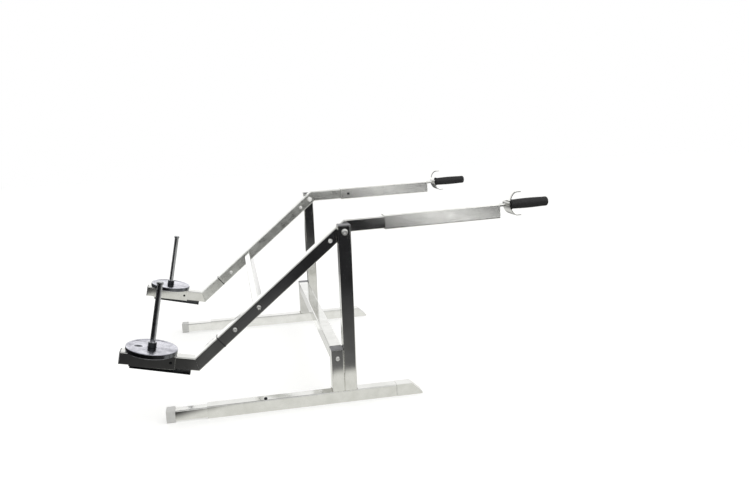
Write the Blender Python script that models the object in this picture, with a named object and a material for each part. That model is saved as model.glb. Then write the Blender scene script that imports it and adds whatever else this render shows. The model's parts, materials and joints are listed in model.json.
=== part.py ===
# Arm and shoulder exerciser: a lever with two arms, tied together, pivots on a low steel floor frame.
# Weight plates stand on pins at the front ends of the arms, and the hands press the grips at the rear ends.
# Metres, +Z up, +Y from the grips to the weights. The lever stands partly pressed down, plates lifted.

from math import cos, pi, radians, sin

import bmesh
import bpy
from mathutils import Matrix, Vector

# Clearances
seat_gap = 0.0003            # between pieces that touch
slide_clearance = 0.0004     # on each side of a tube that slides in another
bolt_clearance = 0.0003      # round a bolt's shank

# Square steel tube
main_tube = 0.0381
tube_wall = 0.0028
tube_corner = 0.0035
inner_wall = 0.0022
sleeve_wall = 0.0028
tie_tube = 0.0254
tie_wall = 0.0020
cap_thickness = 0.003

# Floor frame
frame_width = 0.928          # over the outer faces of the two rails
rail_front = 0.4357          # from the pivot's plane to the front end of the rail tube
rail_rear = 0.1440           # from the pivot's plane to the rear end of the rail tube
rear_foot_length = 0.0840
rear_foot_slant = 0.0350
rear_foot_nose = 0.0057       # height of the foot's blunt rear edge
foot_spigot = 0.030
front_foot_length = 0.026
front_foot_reach = 0.554     # from the pivot's plane to the front face of the front foot
front_foot_end = 0.004
extension_length = 0.350
rail_screw_place = 0.262
rail_screw_inset = 0.0115    # from the rail's outer face
pivot_height = 0.5341
upright_above_pivot = 0.0212
cap_spigot = 0.009
stub_top = 0.1745
cross_bolt_drop = 0.030
end_plug = 0.014             # solid ends of the cross tube and the tie bar

# Lever
pivot_gap = 0.005            # between an upright and the arm beside it
slope_angle = radians(39.7)  # of the sloped run, below the level
rear_angle = radians(1.6)    # rise of the rear run towards the grip
front_angle = radians(11.9)  # rise of the front run towards its end
mitre_behind_pivot = 0.0167
arm_bolt_place = 0.0493      # the places along the sloped run are measured from the pivot
tie_place = 0.3415
lock_bolt_place = 0.4388
arm_joint = 0.4942
bend_place = 0.5920
spigot_start = 0.4150
spigot_end = 0.5650
rear_tube_length = 0.369
front_run = 0.221

# Bolts
pivot_bolt_radius = 0.006
pivot_head_radius = 0.0105
pivot_head_height = 0.0065
frame_bolt_radius = 0.004
frame_head_radius = 0.0072
frame_head_height = 0.0045
screw_radius = 0.003
screw_head_radius = 0.0052
screw_head_height = 0.0032
head_shoulder = (1.00, 0.35) # the dome of a bolt's head, as shares of its radius and height
head_dome = (0.84, 0.82)
head_flat = (0.62, 1.00)
socket_share = 0.50          # width of the hexagon socket, as a share of the head's
set_screw_radius = 0.004
set_screw_socket = 0.0023
set_screw_recess = 0.0013    # depth of its socket
set_screw_sink = 0.0003      # of its face below the sleeve's
thread_end = 0.002           # how far a bolt reaches past its nut
nut_radius = 0.0104
nut_thickness = 0.010
nut_face_radius = 0.0094     # of the round face left by the nut's chamfer
nut_chamfer = 0.00125
bush_flange_radius = 0.015
bush_wall = 0.0019

# Weight carriage: places along the front run are measured from the bend
carriage_start = 0.0638
carriage_length = 0.1305
carriage_screw_place = 0.077
skid_start = 0.016
skid_end = 0.192
skid_thin = 0.0042
skid_thick = 0.0095
skid_bevel = 0.0012
pin_place = 0.1358
pin_radius = 0.0079
pin_top = 0.2364             # the pin's heights are above the middle of the front run
pin_cap_radius = 0.0100
pin_cap_height = 0.0085
hub_radius = 0.0125
hub_top = 0.0520
hub_chamfer = 0.002
plate_radius = 0.075
plate_thickness = 0.015
plate_rim = 0.008
plate_rim_height = 0.0012
plate_bevel = 0.0016
plate_hole_clearance = 0.0006
dimple_place = 0.036
dimple_length = 0.023
dimple_width = 0.013
dimple_depth = 0.0015

# Handle: places along the rear run are measured from the mitre
handle_start = 0.1188
handle_end = 0.4923
handle_end_wall = 0.004
handle_screw_place = 0.150
handle_rise = 0.016          # of the grip's axis over the middle of the rear run
neck_radius = 0.005
guard_reach = 0.029          # from the sleeve's end to the guard's bow
guard_above = 0.044
guard_below = 0.033
guard_depth = 0.026
guard_horn = 0.012
guard_thickness = 0.0035
guard_width = 0.060
guard_steps = 12
grip_start = 0.0125          # from the bow's outer face to the grip
grip_radius = 0.0150
grip_length = 0.128
grip_collar_radius = 0.0172
grip_collar_length = 0.005
grip_end_wall = 0.006
grip_swell = 0.0012
grip_swell_start = 0.045     # from the collar's face
grip_swell_end = 0.077
grip_edge = 0.001
grip_end_round = 0.004

# Fineness
corner_steps = 2
bolt_sides = 18
round_sides = 42
pin_sides = 22
sharp_angle = radians(32)

# Sizes that follow
inner_tube = main_tube - 2 * (tube_wall + slide_clearance)
sleeve_tube = main_tube + 2 * (sleeve_wall + slide_clearance)
rail_x = (frame_width - main_tube) / 2
lever_x = rail_x - main_tube - pivot_gap
stub_y = main_tube + seat_gap


def along_slope(distance):
    return Vector((distance * cos(slope_angle), -distance * sin(slope_angle)))


mitre = along_slope(-mitre_behind_pivot)
bend = along_slope(bend_place)
rear_way = Vector((-cos(rear_angle), sin(rear_angle)))
front_way = Vector((cos(front_angle), sin(front_angle)))

grip_end = handle_end + guard_reach + grip_start + grip_length
front_reach = (bend + front_way * (front_run + cap_thickness)).x + main_tube / 2 * sin(front_angle)
rear_reach = -(mitre + rear_way * grip_end).x + (handle_rise - grip_radius + grip_swell) * sin(rear_angle)
centre_y = (front_reach - rear_reach) / 2

sides = (("left", -1), ("right", 1))


def clear_scene():
    for thing in list(bpy.data.objects):
        bpy.data.objects.remove(thing, do_unlink=True)


def material(name, colour, roughness, metallic):
    made = bpy.data.materials.new(name)
    made.use_nodes = True
    shader = made.node_tree.nodes["Principled BSDF"]
    shader.inputs["Base Color"].default_value = (*colour, 1)
    shader.inputs["Roughness"].default_value = roughness
    shader.inputs["Metallic"].default_value = metallic
    made.diffuse_color = (*colour, 1)
    return made


def empty(name, parent, location=(0, 0, 0), tilt=0.0):
    thing = bpy.data.objects.new(name, None)
    bpy.context.scene.collection.objects.link(thing)
    thing.parent = parent
    thing.location = location
    thing.rotation_euler = (tilt, 0, 0)
    return thing


def add_object(name, mesh, finish, parent, location=(0, 0, 0), rotation=(0, 0, 0)):
    bmesh.ops.recalc_face_normals(mesh, faces=mesh.faces)
    data = bpy.data.meshes.new(name)
    mesh.to_mesh(data)
    mesh.free()
    data.shade_smooth()
    data.set_sharp_from_angle(angle=sharp_angle)
    if finish:
        data.materials.append(finish)
    thing = bpy.data.objects.new(name, data)
    bpy.context.scene.collection.objects.link(thing)
    thing.parent = parent
    thing.location = location
    thing.rotation_euler = rotation
    return thing


def boolean(thing, tool, operation):
    tool.hide_render = True
    tool.display_type = "WIRE"
    change = thing.modifiers.new(operation.lower(), "BOOLEAN")
    change.operation = operation
    change.solver = "EXACT"
    change.object = tool


def join_rings(mesh, first, second):
    # Quads between two rings of points, or triangles where one of them is a single point.
    count = max(len(first), len(second))
    for i in range(count):
        j = (i + 1) % count
        face = []
        for ring, place in ((first, i), (first, j), (second, j), (second, i)):
            corner = ring[place % len(ring)]
            if corner not in face:
                face.append(corner)
        mesh.faces.new(face)


def rounded_square(size, corner):
    # Points round a square with rounded corners, anticlockwise.
    points = []
    middle = size / 2 - corner
    quarters = ((1, 1), (-1, 1), (-1, -1), (1, -1))
    for quarter, (sign_u, sign_v) in enumerate(quarters):
        turn = quarter * pi / 2
        for step in range(corner_steps + 1):
            angle = turn + step * pi / 2 / corner_steps
            points.append((sign_u * middle + corner * cos(angle), sign_v * middle + corner * sin(angle)))
    return points


def tube_ring(mesh, place, across, size, corner):
    spots = [(u, *(place + across * v)) for u, v in rounded_square(size, corner)]
    return [mesh.verts.new(spot) for spot in spots]


def inner_corner(wall):
    # Radius of the corners in a tube's bore.
    return max(tube_corner - wall, tube_corner / 4)


def swept_tube(path, size, wall):
    # A square tube along a path in the plane of Y and Z, mitred where the path turns, open at both ends.
    path = [Vector(point) for point in path]
    mesh = bmesh.new()
    outer, inner = [], []
    for i, place in enumerate(path):
        before = (place - path[i - 1]).normalized() if i else None
        after = (path[i + 1] - place).normalized() if i + 1 < len(path) else None
        before = before or after
        after = after or before
        way = (before + after).normalized()
        across = Vector((-way.y, way.x)) / way.dot(before)
        outer.append(tube_ring(mesh, place, across, size, tube_corner))
        inner.append(tube_ring(mesh, place, across, size - 2 * wall, inner_corner(wall)))
    for skin in (outer, inner):
        for first, second in zip(skin, skin[1:]):
            join_rings(mesh, first, second)
    join_rings(mesh, outer[0], inner[0])
    join_rings(mesh, outer[-1], inner[-1])
    return mesh


def face_looking(mesh, way):
    # The farthest of the faces that look one way.
    mesh.faces.ensure_lookup_table()
    bmesh.ops.recalc_face_normals(mesh, faces=mesh.faces)
    way = Vector(way)
    centre = {face: face.calc_center_median() for face in mesh.faces}
    return max(mesh.faces, key=lambda face: (round(face.normal.dot(way), 3), centre[face].dot(way)))


def push_face(mesh, face, inset, depth):
    # The face's middle, inset by one value, moves out by the other, as a spigot, or in, as a pocket.
    bmesh.ops.inset_individual(mesh, faces=[face], thickness=inset, use_even_offset=True)
    moved = bmesh.ops.extrude_discrete_faces(mesh, faces=[face])["faces"][0]
    shift = face_normal(moved) * depth
    bmesh.ops.translate(mesh, verts=moved.verts, vec=shift)
    return moved


def face_normal(face):
    face.normal_update()
    return face.normal.copy()


def square_block(size, corner, length):
    # A square bar along Y with rounded long edges, from Y = 0 back to Y = -length.
    mesh = bmesh.new()
    rings = []
    for y in (0, -length):
        rings.append([mesh.verts.new((u, y, v)) for u, v in rounded_square(size, corner)])
    join_rings(mesh, *rings)
    for ring in rings:
        mesh.faces.new(ring)
    return mesh


def tube_cap(size, wall, thickness, spigot):
    # A cap that closes a tube's end: its plate faces +Y, and its spigot stands in the bore.
    mesh = square_block(size, tube_corner, thickness)
    push_face(mesh, face_looking(mesh, (0, -1, 0)), wall + seat_gap, spigot)
    return mesh


def tube_cup(size, wall, length, end_wall):
    # A square tube closed at +Y.
    mesh = square_block(size, tube_corner, length)
    push_face(mesh, face_looking(mesh, (0, -1, 0)), wall, end_wall - length)
    return mesh


def prism(outline, width):
    # An outline in the plane of Y and Z, given its width along X.
    mesh = bmesh.new()
    rings = []
    for x in (-width / 2, width / 2):
        rings.append([mesh.verts.new((x, y, z)) for y, z in outline])
    join_rings(mesh, *rings)
    for ring in rings:
        mesh.faces.new(ring)
    return mesh


def turned(profile, sides_round, bored=False):
    # A profile of (radius, height) turned about Z. A third value "hex" makes that ring a hexagon.
    mesh = bmesh.new()
    rings = []
    for point in profile:
        radius, height = point[:2]
        if radius == 0:
            rings.append([mesh.verts.new((0, 0, height))])
            continue
        ring = []
        for step in range(sides_round):
            angle = 2 * pi * step / sides_round
            reach = radius
            if len(point) == 3:
                reach = radius * cos(pi / 6) / cos((angle + pi / 6) % (pi / 3) - pi / 6)
            ring.append(mesh.verts.new((reach * cos(angle), reach * sin(angle), height)))
        rings.append(ring)
    for first, second in zip(rings, rings[1:]):
        join_rings(mesh, first, second)
    if bored:
        join_rings(mesh, rings[-1], rings[0])
    return mesh


def drill(thing, place, radius, depth, direction="X"):
    # A round hole through the object's own point `place`, half its depth each way.
    mesh = turned([(0, -depth / 2), (radius, -depth / 2), (radius, depth / 2), (0, depth / 2)], bolt_sides)
    turns = {"X": (0, pi / 2, 0), "Y": (pi / 2, 0, 0), "Z": (0, 0, 0)}
    cutter = add_object(thing.name + "_drill", mesh, None, thing, place, turns[direction])
    boolean(thing, cutter, "DIFFERENCE")


def plugged_tube(size, wall, length, plug):
    # A square tube along Y whose ends are solid for the length of the plug: skin and core, for a Boolean.
    skin = square_block(size, tube_corner, length)
    core = square_block(size - 2 * wall, inner_corner(wall), length - 2 * plug)
    bmesh.ops.translate(core, verts=core.verts, vec=(0, -plug, 0))
    for mesh in (skin, core):
        bmesh.ops.translate(mesh, verts=mesh.verts, vec=(0, length / 2, 0))
    return skin, core


def button_bolt(radius, head_radius, head_height, length):
    # A dome-headed bolt with a hexagon socket. Its head stands on Z = 0 and its shank hangs below.
    chamfer = radius / 5
    socket = head_radius * socket_share
    socket_floor = head_height * head_shoulder[1]
    dome = [(head_radius * out, head_height * up) for out, up in (head_shoulder, head_dome, head_flat)]
    tip = radius - chamfer
    shank = [(0, -length), (tip, -length), (radius, chamfer - length), (radius, 0), (head_radius, 0)]
    recess = [(socket, head_height, "hex"), (socket, socket_floor, "hex"), (0, socket_floor)]
    return turned(shank + dome + recess, bolt_sides)


def set_screw(length):
    # A headless screw with a hexagon socket. Its face is at Z = 0 and its body hangs below.
    chamfer = set_screw_radius / 8
    tip = set_screw_radius - chamfer
    return turned([
        (0, -length), (tip, -length), (set_screw_radius, chamfer - length), (set_screw_radius, -chamfer),
        (tip, 0), (set_screw_socket, 0, "hex"), (set_screw_socket, -set_screw_recess, "hex"),
        (0, -set_screw_recess),
    ], bolt_sides)


def side_bolt(name, sizes, length, finish, parent, place, outward):
    # A bolt that lies across the frame, its head looking left (-1) or right (+1).
    mesh = button_bolt(*sizes, length)
    return add_object(name, mesh, finish, parent, place, (0, outward * pi / 2, 0))


pivot_bolt_sizes = (pivot_bolt_radius, pivot_head_radius, pivot_head_height)
frame_bolt_sizes = (frame_bolt_radius, frame_head_radius, frame_head_height)
screw_sizes = (screw_radius, screw_head_radius, screw_head_height)


def make_rail(side_name, side, frame, finishes):
    middle = main_tube / 2
    mesh = swept_tube([(-rail_rear, middle), (rail_front, middle)], main_tube, tube_wall)
    rail = add_object("rail_" + side_name, mesh, finishes["steel"], frame, (side * rail_x, 0, 0))
    screw_x = side * (middle - rail_screw_inset)
    drill(rail, (screw_x, rail_screw_place, main_tube), screw_radius + bolt_clearance, main_tube, "Z")
    mesh = button_bolt(*screw_sizes, tube_wall + slide_clearance)
    add_object("rail_lock_screw_" + side_name, mesh, finishes["dark_bolt"], frame,
               (side * rail_x + screw_x, rail_screw_place, main_tube + seat_gap))

    # The rear foot is a wedge on a spigot in the rail's bore
    bottom = rear_foot_length
    top = rear_foot_length - rear_foot_slant
    outline = [(0, 0), (0, main_tube), (-top, main_tube), (-bottom, rear_foot_nose), (-bottom, 0)]
    mesh = prism(outline, main_tube)
    push_face(mesh, face_looking(mesh, (0, 1, 0)), tube_wall + seat_gap, foot_spigot)
    place = (side * rail_x, -rail_rear - seat_gap, 0)
    add_object("rear_foot_" + side_name, mesh, finishes["steel"], frame, place)


def make_extension(side_name, side, frame, finishes):
    slide = empty(f"rail_extension_{side_name}_slide", frame, (side * rail_x, 0, main_tube / 2))
    tip = front_foot_reach - front_foot_end - seat_gap
    mesh = swept_tube([(tip - extension_length, 0), (tip, 0)], inner_tube, inner_wall)
    add_object("rail_extension_" + side_name, mesh, finishes["steel"], slide)
    pocket_wall = (main_tube - inner_tube) / 2 - seat_gap
    mesh = tube_cup(main_tube, pocket_wall, front_foot_length, front_foot_end)
    add_object("front_foot_" + side_name, mesh, finishes["plastic"], slide, (0, front_foot_reach, 0))


def make_upright(side_name, side, frame, finishes):
    foot = main_tube + seat_gap
    top = pivot_height + upright_above_pivot - cap_thickness - seat_gap
    mesh = swept_tube([(0, foot), (0, top)], main_tube, tube_wall)
    upright = add_object("upright_" + side_name, mesh, finishes["steel"], frame, (side * rail_x, 0, 0))
    drill(upright, (0, 0, pivot_height), pivot_bolt_radius + bolt_clearance, 2 * main_tube)
    mesh = tube_cap(main_tube, tube_wall, cap_thickness, cap_spigot)
    add_object("upright_cap_" + side_name, mesh, finishes["plastic"], frame,
               (side * rail_x, 0, pivot_height + upright_above_pivot), (pi / 2, 0, 0))

    stub_end = stub_top - cap_thickness - seat_gap
    mesh = swept_tube([(stub_y, foot), (stub_y, stub_end)], main_tube, tube_wall)
    stub = add_object("stub_" + side_name, mesh, finishes["steel"], frame, (side * rail_x, 0, 0))
    drill(stub, (0, stub_y, stub_top - cross_bolt_drop), frame_bolt_radius + bolt_clearance, 2 * main_tube)
    mesh = tube_cap(main_tube, tube_wall, cap_thickness, cap_spigot)
    add_object("stub_cap_" + side_name, mesh, finishes["plastic"], frame,
               (side * rail_x, stub_y, stub_top), (pi / 2, 0, 0))
    side_bolt("cross_bolt_" + side_name, frame_bolt_sizes, main_tube + end_plug, finishes["bolt"], frame,
              (side * (frame_width / 2 + seat_gap), stub_y, stub_top - cross_bolt_drop), side)


def make_cross_tube(frame, finishes):
    length = frame_width - 2 * (main_tube + seat_gap)
    skin, core = plugged_tube(main_tube, tube_wall, length, end_plug)
    place = (0, stub_y, stub_top - main_tube / 2)
    cross = add_object("cross_tube", skin, finishes["steel"], frame, place, (0, 0, pi / 2))
    boolean(cross, add_object("cross_tube_core", core, None, cross), "DIFFERENCE")
    bolt_line = main_tube / 2 - cross_bolt_drop
    drill(cross, (0, 0, bolt_line), frame_bolt_radius + bolt_clearance, length + main_tube, "Y")


def make_pivot(side_name, side, frame, lever, finishes):
    outer_face = frame_width / 2 + seat_gap
    nut_face = side * (lever_x - main_tube / 2 - seat_gap)
    length = 2 * main_tube + pivot_gap + 2 * seat_gap + nut_thickness + thread_end
    side_bolt("pivot_bolt_" + side_name, pivot_bolt_sizes, length, finishes["bolt"], frame,
              (side * outer_face, 0, pivot_height), side)
    bore = pivot_bolt_radius + bolt_clearance
    nut = turned([
        (bore, -nut_thickness), (nut_face_radius, -nut_thickness),
        (nut_radius, nut_chamfer - nut_thickness, "hex"), (nut_radius, -nut_chamfer, "hex"),
        (nut_face_radius, 0), (bore, 0),
    ], bolt_sides, bored=True)
    add_object("pivot_nut_" + side_name, nut, finishes["bolt"], frame,
               (nut_face, 0, pivot_height), (0, side * pi / 2, 0))

    flange = pivot_gap - 2 * seat_gap
    barrel = main_tube + seat_gap
    barrel_radius = bore + bush_wall
    bush = turned([
        (bore, -barrel), (barrel_radius, -barrel), (barrel_radius, 0),
        (bush_flange_radius, 0), (bush_flange_radius, flange), (bore, flange),
    ], bolt_sides, bored=True)
    add_object("pivot_bush_" + side_name, bush, finishes["bronze"], lever,
               (side * (lever_x + main_tube / 2 + seat_gap), 0, 0), (0, side * pi / 2, 0))


def make_arm(side_name, side, lever, finishes):
    x = side * lever_x
    outer = side * (lever_x + main_tube / 2 + seat_gap)
    rear_end = mitre + rear_way * rear_tube_length
    mesh = swept_tube([rear_end, mitre, along_slope(arm_joint)], main_tube, tube_wall)
    arm = add_object("lever_tube_" + side_name, mesh, finishes["steel"], lever, (x, 0, 0))
    drill(arm, (0, 0, 0), pivot_bolt_radius + bolt_clearance + bush_wall + bolt_clearance, 2 * main_tube)
    for place in (arm_bolt_place, tie_place, lock_bolt_place):
        spot = along_slope(place)
        drill(arm, (0, *spot), frame_bolt_radius + bolt_clearance, 2 * main_tube)

    front_end = bend + front_way * front_run
    mesh = swept_tube([along_slope(arm_joint + seat_gap), bend, front_end], main_tube, tube_wall)
    add_object("front_tube_" + side_name, mesh, finishes["steel"], lever, (x, 0, 0))
    end = front_end + front_way * (seat_gap + cap_thickness)
    add_object("front_plug_" + side_name, tube_cap(main_tube, tube_wall, cap_thickness, cap_spigot),
               finishes["plastic"], lever, (x, *end), (front_angle, 0, 0))

    mesh = swept_tube([along_slope(spigot_start), along_slope(spigot_end)], inner_tube, inner_wall)
    spigot = add_object("arm_spigot_" + side_name, mesh, finishes["steel"], lever, (x, 0, 0))
    drill(spigot, (0, *along_slope(lock_bolt_place)), frame_bolt_radius + bolt_clearance, 2 * main_tube)

    through = main_tube + thread_end
    lengths = {"arm_bolt_": (arm_bolt_place, through), "lock_bolt_": (lock_bolt_place, through),
               "tie_bolt_": (tie_place, main_tube + end_plug)}
    for name, (place, length) in lengths.items():
        spot = (outer, *along_slope(place))
        side_bolt(name + side_name, frame_bolt_sizes, length, finishes["bolt"], lever, spot, side)


def make_tie_bar(lever, finishes):
    length = 2 * (lever_x - main_tube / 2 - seat_gap)
    skin, core = plugged_tube(tie_tube, tie_wall, length, end_plug)
    place = (0, *along_slope(tie_place))
    bar = add_object("tie_bar", skin, finishes["steel"], lever, place, (0, slope_angle, pi / 2))
    boolean(bar, add_object("tie_bar_core", core, None, bar), "DIFFERENCE")
    drill(bar, (0, 0, 0), frame_bolt_radius + bolt_clearance, length + main_tube, "Y")


def make_carriage(side_name, side, lever, finishes):
    slide = empty(f"carriage_{side_name}_slide", lever, (side * lever_x, *bend), front_angle)
    end = carriage_start + carriage_length
    mesh = swept_tube([(carriage_start, 0), (end, 0)], sleeve_tube, sleeve_wall)
    carriage = add_object("carriage_" + side_name, mesh, finishes["steel"], slide)

    # The two carriages are alike, so both are locked from the left. The screw lies flush, to pass the rail.
    screw_x = -sleeve_tube / 2
    drill(carriage, (screw_x, carriage_screw_place, 0), set_screw_radius + bolt_clearance, sleeve_tube / 2)
    mesh = set_screw(sleeve_wall + slide_clearance - set_screw_sink - seat_gap)
    place = (screw_x + set_screw_sink, carriage_screw_place, 0)
    add_object("carriage_screw_" + side_name, mesh, finishes["dark_bolt"], slide, place, (0, -pi / 2, 0))

    top = -sleeve_tube / 2 - seat_gap
    mesh = prism([
        (skid_start, top), (skid_end, top), (skid_end, top - skid_thin), (skid_start, top - skid_thick),
    ], sleeve_tube)
    bmesh.ops.bevel(mesh, geom=mesh.edges[:], offset=skid_bevel, segments=1, affect="EDGES")
    add_object("skid_" + side_name, mesh, finishes["dark_steel"], slide)

    foot = sleeve_tube / 2 + seat_gap
    cap_foot = pin_top - pin_cap_height
    round_off = pin_cap_height / 3
    pin = turned([
        (0, foot), (hub_radius, foot),
        (hub_radius, hub_top - hub_chamfer), (hub_radius - hub_chamfer, hub_top),
        (pin_radius, hub_top), (pin_radius, cap_foot), (pin_cap_radius, cap_foot),
        (pin_cap_radius, pin_top - round_off), (pin_cap_radius - round_off, pin_top), (0, pin_top),
    ], pin_sides)
    add_object("weight_pin_" + side_name, pin, finishes["dark_steel"], slide, (0, pin_place, 0))

    lift = empty(f"plate_{side_name}_lift", slide, (0, pin_place, 0))
    low = foot + seat_gap
    high = low + plate_thickness
    face = high - plate_rim_height
    hole = hub_radius + plate_hole_clearance
    rim_edge = plate_radius - plate_rim
    mesh = turned([
        (hole, low), (plate_radius - plate_bevel, low), (plate_radius, low + plate_bevel),
        (plate_radius, high - plate_bevel), (plate_radius - plate_bevel, high),
        (rim_edge, high), (rim_edge - plate_rim_height, face),
        (hole + plate_rim_height, face), (hole, face - plate_rim_height),
    ], round_sides, bored=True)
    plate = add_object("weight_plate_" + side_name, mesh, finishes["plate"], lift)
    reach, deep = dimple_width / 2, dimple_depth
    dimple = turned([(0, -deep), (reach, -deep), (reach, deep), (0, deep)], pin_sides)
    bmesh.ops.scale(dimple, verts=dimple.verts, vec=(1, dimple_length / dimple_width, 1))
    cutter = add_object("weight_plate_dimple_" + side_name, dimple, None, lift, (0, dimple_place, face))
    boolean(plate, cutter, "DIFFERENCE")


def guard_outline():
    # The bow's section: half an ellipse, its horns run on towards the grip's end, one thickness wide.
    middle = (guard_above - guard_below) / 2
    half = (guard_above + guard_below) / 2
    outline = []
    for inset in (0, guard_thickness):
        deep, high = guard_depth - inset, half - inset
        run = [(-guard_depth - guard_horn, middle + high)]
        for step in range(guard_steps + 1):
            angle = pi / 2 - pi * step / guard_steps
            run.append((deep * cos(angle) - guard_depth, middle + high * sin(angle)))
        run.append((-guard_depth - guard_horn, middle - high))
        outline.append(run)
    return outline[0] + outline[1][::-1]


def make_handle(side_name, side, lever, finishes):
    slide = empty(f"handle_{side_name}_slide", lever, (side * lever_x, *mitre), -rear_angle)
    length = handle_end - handle_start
    mesh = tube_cup(sleeve_tube, sleeve_wall, length, handle_end_wall)
    bmesh.ops.rotate(mesh, verts=mesh.verts, matrix=Matrix.Rotation(pi, 3, "Z"))
    sleeve = add_object("handle_sleeve_" + side_name, mesh, finishes["satin"], slide, (0, -handle_end, 0))
    screw_x = -side * sleeve_tube / 2
    from_end = handle_end - handle_screw_place
    drill(sleeve, (screw_x, from_end, 0), screw_radius + bolt_clearance, sleeve_tube / 2)
    place = (screw_x - side * seat_gap, -handle_screw_place, 0)
    side_bolt("handle_screw_" + side_name, screw_sizes, sleeve_wall + slide_clearance,
              finishes["dark_bolt"], slide, place, -side)

    # The bow guard and its rod: the rod starts at the sleeve's end and runs through the bow into the grip
    bow = prism(guard_outline(), guard_width)
    guard_y = -handle_end - guard_reach
    guard = add_object("hand_guard_" + side_name, bow, finishes["bright"], slide, (0, guard_y, handle_rise))
    rod_start = guard_reach - seat_gap
    rod_end = seat_gap + grip_end_wall - grip_start - grip_length
    outline = [(0, rod_end), (neck_radius, rod_end), (neck_radius, rod_start), (0, rod_start)]
    rod = add_object("hand_guard_rod_" + side_name, turned(outline, pin_sides), None, guard)
    rod.rotation_euler.x = -pi / 2
    boolean(guard, rod, "UNION")

    bore = neck_radius + bolt_clearance
    bore_end = grip_end_wall - grip_length
    collar, collar_end = grip_collar_radius, grip_edge - grip_collar_length
    swell = grip_radius + grip_swell
    mesh = turned([
        (0, bore_end), (bore, bore_end), (bore, 0), (collar - grip_edge, 0),
        (collar, -grip_edge), (collar, collar_end), (grip_radius, -grip_collar_length),
        (swell, -grip_swell_start), (swell, -grip_swell_end), (grip_radius, grip_end_round - grip_length),
        (grip_radius - grip_end_round, -grip_length), (0, -grip_length),
    ], pin_sides)
    grip_place = (0, guard_y - grip_start, handle_rise)
    add_object("grip_" + side_name, mesh, finishes["rubber"], slide, grip_place, (-pi / 2, 0, 0))


def main():
    clear_scene()
    finishes = {
        "steel": material("polished_steel_tube", (0.62, 0.63, 0.64), 0.22, 1.0),
        "satin": material("satin_steel_sleeve", (0.66, 0.66, 0.64), 0.38, 1.0),
        "dark_steel": material("dark_polished_steel", (0.33, 0.34, 0.36), 0.28, 1.0),
        "bright": material("bright_polished_steel", (0.78, 0.78, 0.77), 0.18, 1.0),
        "plate": material("machined_iron_plate", (0.56, 0.56, 0.60), 0.34, 1.0),
        "bolt": material("zinc_plated_bolt", (0.80, 0.80, 0.79), 0.25, 1.0),
        "dark_bolt": material("black_oxide_screw", (0.06, 0.06, 0.065), 0.45, 0.6),
        "bronze": material("sintered_bronze", (0.55, 0.38, 0.20), 0.45, 1.0),
        "plastic": material("grey_moulded_plastic", (0.22, 0.22, 0.23), 0.50, 0.0),
        "rubber": material("black_grip_rubber", (0.025, 0.025, 0.027), 0.75, 0.0),
    }
    frame = empty("exerciser", None, (0, -centre_y, 0))
    lever = empty("lever_pivot", frame, (0, 0, pivot_height))
    make_cross_tube(frame, finishes)
    make_tie_bar(lever, finishes)
    for side_name, side in sides:
        make_rail(side_name, side, frame, finishes)
        make_extension(side_name, side, frame, finishes)
        make_upright(side_name, side, frame, finishes)
        make_pivot(side_name, side, frame, lever, finishes)
        make_arm(side_name, side, lever, finishes)
        make_carriage(side_name, side, lever, finishes)
        make_handle(side_name, side, lever, finishes)


main()
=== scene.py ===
import json
from math import cos, pi, radians, sin, tan

import bmesh
import bpy
from mathutils import Matrix, Vector


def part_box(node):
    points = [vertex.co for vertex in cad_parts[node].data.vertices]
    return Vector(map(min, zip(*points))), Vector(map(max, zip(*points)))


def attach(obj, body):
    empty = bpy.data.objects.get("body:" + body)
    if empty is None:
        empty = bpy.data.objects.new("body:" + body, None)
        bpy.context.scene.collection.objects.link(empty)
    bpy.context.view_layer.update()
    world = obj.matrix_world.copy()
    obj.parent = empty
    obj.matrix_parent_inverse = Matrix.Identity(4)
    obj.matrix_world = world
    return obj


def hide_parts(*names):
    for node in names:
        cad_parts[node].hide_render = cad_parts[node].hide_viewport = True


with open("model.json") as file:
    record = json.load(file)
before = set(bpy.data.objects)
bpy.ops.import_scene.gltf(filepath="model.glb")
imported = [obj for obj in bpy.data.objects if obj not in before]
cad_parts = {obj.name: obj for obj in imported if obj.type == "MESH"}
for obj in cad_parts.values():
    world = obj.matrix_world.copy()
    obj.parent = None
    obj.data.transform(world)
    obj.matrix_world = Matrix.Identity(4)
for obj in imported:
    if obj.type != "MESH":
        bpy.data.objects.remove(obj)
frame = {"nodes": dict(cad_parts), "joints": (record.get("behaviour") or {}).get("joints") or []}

scene = bpy.context.scene
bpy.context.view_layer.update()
xAxis, yAxis, zAxis = Vector((1, 0, 0)), Vector((0, 1, 0)), Vector((0, 0, 1))
print("frame loaded,", len(frame["nodes"]), "nodes")


def axesAt(origin, across, along, above):
    # a matrix from where local X, Y and Z point
    return Matrix.Translation(origin) @ Matrix((across, along, above)).transposed().to_4x4()


def newObject(name, data):
    thing = bpy.data.objects.new(name, data)
    scene.collection.objects.link(thing)
    return thing


def meshData(name, mesh):
    data = bpy.data.meshes.new(name)
    mesh.to_mesh(data)
    mesh.free()
    return data


# camera: found from the lines of the floor frame in the photograph
cameraView = {
    "place": (-2.456, 0.3302, 0.881),
    "yaw": radians(11.91),      # to the right of +X, seen from above
    "pitch": radians(11.32),    # downwards
    "roll": radians(-1.96),
    "lens": 33.33,
    "sensor": 36.0,
}


def makeCamera():
    yaw, pitch, roll = cameraView["yaw"], cameraView["pitch"], cameraView["roll"]
    ahead = Vector((cos(yaw) * cos(pitch), -sin(yaw) * cos(pitch), -sin(pitch)))
    level = Vector((-sin(yaw), -cos(yaw), 0))
    above = level.cross(ahead)
    right = level * cos(roll) + above * sin(roll)
    up = above * cos(roll) - level * sin(roll)
    data = bpy.data.cameras.new("camera")
    data.lens = cameraView["lens"]
    data.sensor_width = cameraView["sensor"]
    camera = newObject("camera", data)
    camera.matrix_world = axesAt(cameraView["place"], right, up, -ahead)
    scene.camera = camera


makeCamera()
scene.view_settings.view_transform = "Standard"
print("camera placed")


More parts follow.
